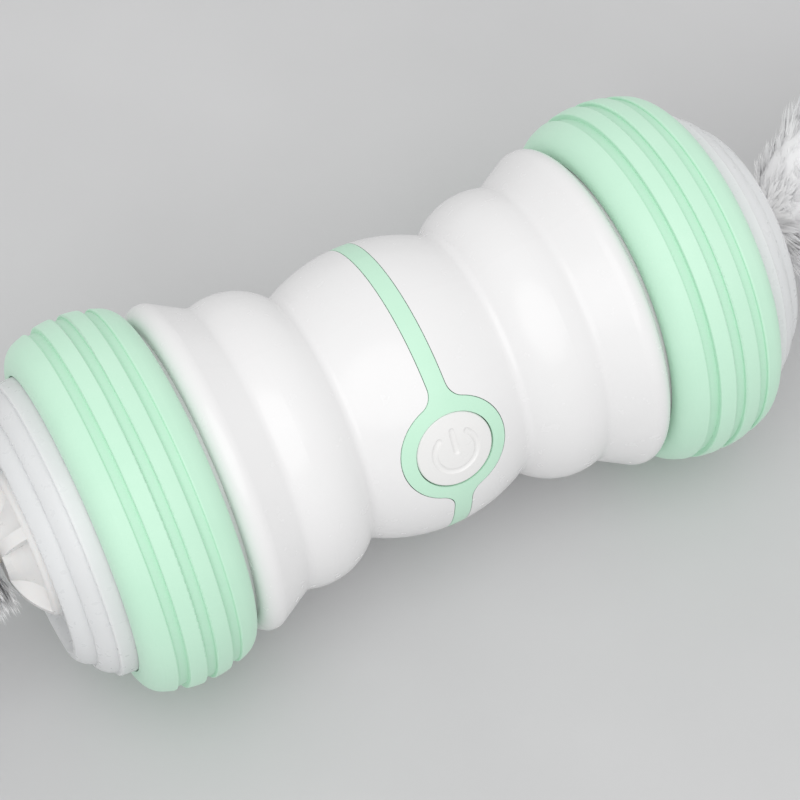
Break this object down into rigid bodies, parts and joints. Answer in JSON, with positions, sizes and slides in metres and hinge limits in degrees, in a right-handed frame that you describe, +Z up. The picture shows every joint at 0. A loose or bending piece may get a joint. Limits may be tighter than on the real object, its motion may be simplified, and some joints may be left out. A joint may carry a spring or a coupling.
{
  "type": "automatic rotating cat toy",
  "caption": "Rolling dumbbell cat toy: wavy white body with a power button, geared wheels with soft tyres, and a feather plugged into each end.",
  "frame": {"origin": "on the floor below the middle of the axle", "axes": "+X along the axle towards the right wheel, -Y towards the power button, +Z up"},
  "size_m": [0.2854, 0.06, 0.06],
  "materials": {
    "shell_white": "gloss moulded",
    "mint_band": "satin moulded",
    "button_white": "satin moulded",
    "mint_silicone": "matte silicone",
    "frosted_cap": "frosted translucent",
    "holder_white": "satin moulded",
    "feather_white": "soft down",
    "quill_ivory": "horn",
    "rim_white": "moulded",
    "gear_plastic": "natural acetal",
    "steel": "turned",
    "motor_steel": "drawn case",
    "brass": "turned",
    "dark_plastic": "moulded",
    "board_green": "lacquered laminate",
    "cell_wrap": "shrink sleeve",
    "lamp_clear": "clear",
    "chassis_grey": "moulded"
  },
  "bodies": {
    "body": {"left_shell": "shell_white", "right_shell": "shell_white", "centre_band": "mint_band", "chassis": "chassis_grey", "main_board": "board_green", "board_screws": "steel", "push_switch": "dark_plastic", "control_chip": "dark_plastic", "indicator_lamp": "lamp_clear", "cell": "cell_wrap", "charge_board": "board_green", "charge_socket": "steel", "left_idler_pin": "steel", "left_shaft_bush": "brass", "left_gear_plate": "chassis_grey", "left_gear_plate_screws": "steel", "left_motor_can": "motor_steel", "left_motor_end_cap": "dark_plastic", "left_motor_terminals": "brass", "left_motor_screws": "steel", "right_idler_pin": "steel", "right_shaft_bush": "brass", "right_gear_plate": "chassis_grey", "right_gear_plate_screws": "steel", "right_motor_can": "motor_steel", "right_motor_end_cap": "dark_plastic", "right_motor_terminals": "brass", "right_motor_screws": "steel"},
    "button": {"power_button": "button_white", "switch_plunger": "dark_plastic"},
    "left_wheel": {"left_tyre": "mint_silicone", "left_wheel_rim": "rim_white", "left_output_shaft": "steel", "left_shaft_screw": "steel", "left_hub_cap": "frosted_cap", "left_hub_cap_screws": "steel", "left_output_gear": "gear_plastic"},
    "left_feather": {"left_feather_holder": "holder_white", "left_feather_quill": "quill_ivory", "left_feather_plume": "feather_white"},
    "left_idler": {"left_idler_gear": "gear_plastic"},
    "left_cluster": {"left_cluster_gear": "gear_plastic"},
    "left_rotor": {"left_motor_rotor": "steel", "left_motor_pinion": "brass"},
    "right_wheel": {"right_tyre": "mint_silicone", "right_wheel_rim": "rim_white", "right_output_shaft": "steel", "right_shaft_screw": "steel", "right_hub_cap": "frosted_cap", "right_hub_cap_screws": "steel", "right_output_gear": "gear_plastic"},
    "right_feather": {"right_feather_holder": "holder_white", "right_feather_quill": "quill_ivory", "right_feather_plume": "feather_white"},
    "right_idler": {"right_idler_gear": "gear_plastic"},
    "right_cluster": {"right_cluster_gear": "gear_plastic"},
    "right_rotor": {"right_motor_rotor": "steel", "right_motor_pinion": "brass"}
  },
  "joints": [
    {"name": "left_wheel_spin", "type": "hinge", "parent": "body", "child": "left_wheel", "pos_m": [0, 0, 0.03], "axis": [1, 0, 0], "continuous": true},
    {"name": "left_feather_pull", "type": "slide", "parent": "left_wheel", "child": "left_feather", "axis": [-1, 0, 0], "range_m": [0, 0.014]},
    {"name": "left_idler_spin", "type": "hinge", "parent": "body", "child": "left_idler", "pos_m": [0, -0.00643, 0.03766], "axis": [1, 0, 0], "continuous": true},
    {"name": "left_cluster_spin", "type": "hinge", "parent": "body", "child": "left_cluster", "pos_m": [0, 0, 0.03], "axis": [1, 0, 0], "continuous": true},
    {"name": "left_motor_spin", "type": "hinge", "parent": "body", "child": "left_rotor", "pos_m": [0, 0.00695, 0.02281], "axis": [1, 0, 0], "continuous": true},
    {"name": "right_wheel_spin", "type": "hinge", "parent": "body", "child": "right_wheel", "pos_m": [0, 0, 0.03], "axis": [1, 0, 0], "continuous": true},
    {"name": "right_feather_pull", "type": "slide", "parent": "right_wheel", "child": "right_feather", "axis": [1, 0, 0], "range_m": [0, 0.014]},
    {"name": "right_idler_spin", "type": "hinge", "parent": "body", "child": "right_idler", "pos_m": [0, -0.00643, 0.03766], "axis": [1, 0, 0], "continuous": true},
    {"name": "right_cluster_spin", "type": "hinge", "parent": "body", "child": "right_cluster", "pos_m": [0, 0, 0.03], "axis": [1, 0, 0], "continuous": true},
    {"name": "right_motor_spin", "type": "hinge", "parent": "body", "child": "right_rotor", "pos_m": [0, 0.00695, 0.02281], "axis": [1, 0, 0], "continuous": true},
    {"name": "power_button_press", "type": "slide", "parent": "body", "child": "button", "axis": [0, 0.8878, -0.4602], "range_m": [0, 0.0005], "stiffness_N_per_m": 2000}
  ],
  "couplings": [
    {"joint": "left_idler_spin", "follows": "left_wheel_spin", "ratio": -3},
    {"joint": "left_cluster_spin", "follows": "left_wheel_spin", "ratio": 9},
    {"joint": "left_motor_spin", "follows": "left_wheel_spin", "ratio": -27},
    {"joint": "right_idler_spin", "follows": "right_wheel_spin", "ratio": -3},
    {"joint": "right_cluster_spin", "follows": "right_wheel_spin", "ratio": 9},
    {"joint": "right_motor_spin", "follows": "right_wheel_spin", "ratio": -27}
  ]
}
